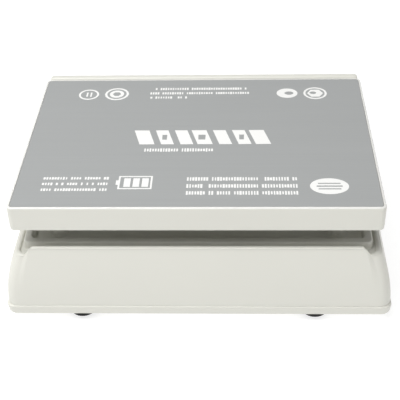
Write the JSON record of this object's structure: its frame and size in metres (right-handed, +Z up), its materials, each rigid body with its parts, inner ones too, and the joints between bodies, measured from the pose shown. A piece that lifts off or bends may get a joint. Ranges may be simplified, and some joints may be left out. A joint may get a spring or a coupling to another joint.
{
  "type": "label printing scale",
  "caption": "Counter scale with a flat lift-off weighing platter at the back and a sloping operator console with a built-in label printer, display and keys at the front",
  "frame": {"origin": "middle of the footprint, on the surface that the scale stands on", "axes": "+Z up; the operator stands at -Y, +X is to the operator's right, the customer side is +Y"},
  "size_m": [0.372, 0.366, 0.13],
  "materials": {
    "housing_cream": "fine satin moulded grain",
    "platter_film": "brushed sheet with a printed layer",
    "cast_aluminium": "die cast and machined",
    "zinc_steel": "zinc plated sheet",
    "motor_steel": "plated can",
    "clear_window": "clear acrylic",
    "circuit_board": "solder-masked laminate",
    "membrane_sheet": "printed polyester sheet",
    "key_plastic": "moulded keycap",
    "print_key": "moulded keycap",
    "black_plastic": "moulded",
    "black_rubber": "moulded rubber",
    "gear_plastic": "acetal",
    "label_paper": "thermal label stock",
    "core_board": "wound tube"
  },
  "bodies": {
    "base": {"upper_housing": "housing_cream", "base_tray": "housing_cream", "load_cell": "cast_aluminium", "load_cell_mount": "cast_aluminium", "level_vial": "clear_window", "battery_pack": "black_plastic", "main_board": "circuit_board", "power_supply": "zinc_steel", "mains_inlet": "black_plastic", "switch_body": "black_plastic", "display_window": "clear_window", "display_module": "circuit_board", "key_board": "circuit_board", "preset_sheet": "membrane_sheet", "cover_pin": "zinc_steel", "printer_frame": "zinc_steel", "stepper_motor": "motor_steel", "tear_bar": "zinc_steel", "head_spring": "zinc_steel"},
    "weigh_frame": {"spider_frame": "cast_aluminium", "load_cell_riser": "cast_aluminium", "bumper_front_left": "black_rubber", "bumper_front_right": "black_rubber", "bumper_rear_left": "black_rubber", "bumper_rear_right": "black_rubber"},
    "platter": {"platter_tray": "housing_cream", "platter_plate": "platter_film"},
    "battery_door": {"battery_door": "housing_cream"},
    "power_rocker": {"power_rocker": "black_plastic"},
    "printer_cover": {"printer_cover": "housing_cream"},
    "cover_latch": {"cover_latch": "key_plastic"},
    "print_head": {"print_head": "cast_aluminium"},
    "platen": {"platen_roller": "black_rubber", "platen_gear": "gear_plastic"},
    "idler_gear": {"idler_gear": "gear_plastic"},
    "motor_pinion": {"motor_pinion": "gear_plastic"},
    "label_roll": {"label_roll": "label_paper", "roll_core": "core_board", "roll_spindle": "black_plastic"},
    "roll_guide": {"roll_guide": "black_plastic"},
    "foot_front_left": {"foot_front_left": "black_rubber"},
    "foot_front_right": {"foot_front_right": "black_rubber"},
    "foot_rear_left": {"foot_rear_left": "black_rubber"},
    "foot_rear_right": {"foot_rear_right": "black_rubber"},
    "key_7": {"key_7": "key_plastic"},
    "key_8": {"key_8": "key_plastic"},
    "key_9": {"key_9": "key_plastic"},
    "key_zero": {"key_zero": "key_plastic"},
    "key_4": {"key_4": "key_plastic"},
    "key_5": {"key_5": "key_plastic"},
    "key_6": {"key_6": "key_plastic"},
    "key_tare": {"key_tare": "key_plastic"},
    "key_1": {"key_1": "key_plastic"},
    "key_2": {"key_2": "key_plastic"},
    "key_3": {"key_3": "key_plastic"},
    "key_feed": {"key_feed": "key_plastic"},
    "key_clear": {"key_clear": "key_plastic"},
    "key_0": {"key_0": "key_plastic"},
    "key_price": {"key_price": "key_plastic"},
    "key_print": {"key_print": "print_key"}
  },
  "joints": [
    {"name": "load_cell_deflection", "type": "slide", "parent": "base", "child": "weigh_frame", "axis": [0, 0, -1], "range_m": [0, 0.0005], "stiffness_N_per_m": 200000, "springref_m": -0.0003},
    {"name": "platter_lift_off", "type": "slide", "parent": "weigh_frame", "child": "platter", "axis": [0, 0, 1], "range_m": [0, 0.15]},
    {"name": "battery_door_slide", "type": "slide", "parent": "base", "child": "battery_door", "axis": [0, -1, 0], "range_m": [0, 0.06]},
    {"name": "power_rocker_tilt", "type": "hinge", "parent": "base", "child": "power_rocker", "pos_m": [0.179, -0.08, 0.037], "axis": [0, -1, 0], "range_deg": [0, 16]},
    {"name": "printer_cover_hinge", "type": "hinge", "parent": "base", "child": "printer_cover", "pos_m": [-0.114, -0.08475, 0.1195], "axis": [-1, 0, 0], "range_deg": [0, 95]},
    {"name": "cover_latch_press", "type": "slide", "parent": "printer_cover", "child": "cover_latch", "axis": [0, 0.5446, -0.8387], "range_m": [0, 0.0015], "stiffness_N_per_m": 600},
    {"name": "print_head_lift", "type": "hinge", "parent": "base", "child": "print_head", "pos_m": [-0.115, -0.144, 0.066], "axis": [-1, 0, 0], "range_deg": [0, 6], "stiffness_Nm_per_rad": 1, "springref_deg": -8.59, "deforming": ["head_spring"]},
    {"name": "platen_spin", "type": "hinge", "parent": "base", "child": "platen", "pos_m": [-0.113, -0.16, 0.044], "axis": [1, 0, 0], "continuous": true},
    {"name": "idler_spin", "type": "hinge", "parent": "base", "child": "idler_gear", "pos_m": [-0.0662, -0.14013, 0.03515], "axis": [1, 0, 0], "continuous": true},
    {"name": "pinion_spin", "type": "hinge", "parent": "base", "child": "motor_pinion", "pos_m": [-0.0662, -0.12318, 0.03515], "axis": [1, 0, 0], "continuous": true},
    {"name": "label_roll_spin", "type": "hinge", "parent": "base", "child": "label_roll", "pos_m": [-0.115, -0.114, 0.05], "axis": [1, 0, 0], "continuous": true},
    {"name": "roll_guide_slide", "type": "slide", "parent": "label_roll", "child": "roll_guide", "axis": [1, 0, 0], "range_m": [0, 0.0135]},
    {"name": "foot_front_left_height", "type": "slide", "parent": "base", "child": "foot_front_left", "axis": [0, 0, -1], "range_m": [0, 0.006]},
    {"name": "foot_front_right_height", "type": "slide", "parent": "base", "child": "foot_front_right", "axis": [0, 0, -1], "range_m": [0, 0.006]},
    {"name": "foot_rear_left_height", "type": "slide", "parent": "base", "child": "foot_rear_left", "axis": [0, 0, -1], "range_m": [0, 0.006]},
    {"name": "foot_rear_right_height", "type": "slide", "parent": "base", "child": "foot_rear_right", "axis": [0, 0, -1], "range_m": [0, 0.006]},
    {"name": "key_7_press", "type": "slide", "parent": "base", "child": "key_7", "axis": [0, 0.5446, -0.8387], "range_m": [0, 0.0025], "stiffness_N_per_m": 300},
    {"name": "key_8_press", "type": "slide", "parent": "base", "child": "key_8", "axis": [0, 0.5446, -0.8387], "range_m": [0, 0.0025], "stiffness_N_per_m": 300},
    {"name": "key_9_press", "type": "slide", "parent": "base", "child": "key_9", "axis": [0, 0.5446, -0.8387], "range_m": [0, 0.0025], "stiffness_N_per_m": 300},
    {"name": "key_zero_press", "type": "slide", "parent": "base", "child": "key_zero", "axis": [0, 0.5446, -0.8387], "range_m": [0, 0.0025], "stiffness_N_per_m": 300},
    {"name": "key_4_press", "type": "slide", "parent": "base", "child": "key_4", "axis": [0, 0.5446, -0.8387], "range_m": [0, 0.0025], "stiffness_N_per_m": 300},
    {"name": "key_5_press", "type": "slide", "parent": "base", "child": "key_5", "axis": [0, 0.5446, -0.8387], "range_m": [0, 0.0025], "stiffness_N_per_m": 300},
    {"name": "key_6_press", "type": "slide", "parent": "base", "child": "key_6", "axis": [0, 0.5446, -0.8387], "range_m": [0, 0.0025], "stiffness_N_per_m": 300},
    {"name": "key_tare_press", "type": "slide", "parent": "base", "child": "key_tare", "axis": [0, 0.5446, -0.8387], "range_m": [0, 0.0025], "stiffness_N_per_m": 300},
    {"name": "key_1_press", "type": "slide", "parent": "base", "child": "key_1", "axis": [0, 0.5446, -0.8387], "range_m": [0, 0.0025], "stiffness_N_per_m": 300},
    {"name": "key_2_press", "type": "slide", "parent": "base", "child": "key_2", "axis": [0, 0.5446, -0.8387], "range_m": [0, 0.0025], "stiffness_N_per_m": 300},
    {"name": "key_3_press", "type": "slide", "parent": "base", "child": "key_3", "axis": [0, 0.5446, -0.8387], "range_m": [0, 0.0025], "stiffness_N_per_m": 300},
    {"name": "key_feed_press", "type": "slide", "parent": "base", "child": "key_feed", "axis": [0, 0.5446, -0.8387], "range_m": [0, 0.0025], "stiffness_N_per_m": 300},
    {"name": "key_clear_press", "type": "slide", "parent": "base", "child": "key_clear", "axis": [0, 0.5446, -0.8387], "range_m": [0, 0.0025], "stiffness_N_per_m": 300},
    {"name": "key_0_press", "type": "slide", "parent": "base", "child": "key_0", "axis": [0, 0.5446, -0.8387], "range_m": [0, 0.0025], "stiffness_N_per_m": 300},
    {"name": "key_price_press", "type": "slide", "parent": "base", "child": "key_price", "axis": [0, 0.5446, -0.8387], "range_m": [0, 0.0025], "stiffness_N_per_m": 300},
    {"name": "key_print_press", "type": "slide", "parent": "base", "child": "key_print", "axis": [0, 0.5446, -0.8387], "range_m": [0, 0.0025], "stiffness_N_per_m": 300}
  ],
  "couplings": [
    {"joint": "idler_spin", "follows": "platen_spin", "ratio": -0.8},
    {"joint": "pinion_spin", "follows": "platen_spin", "ratio": 2}
  ]
}
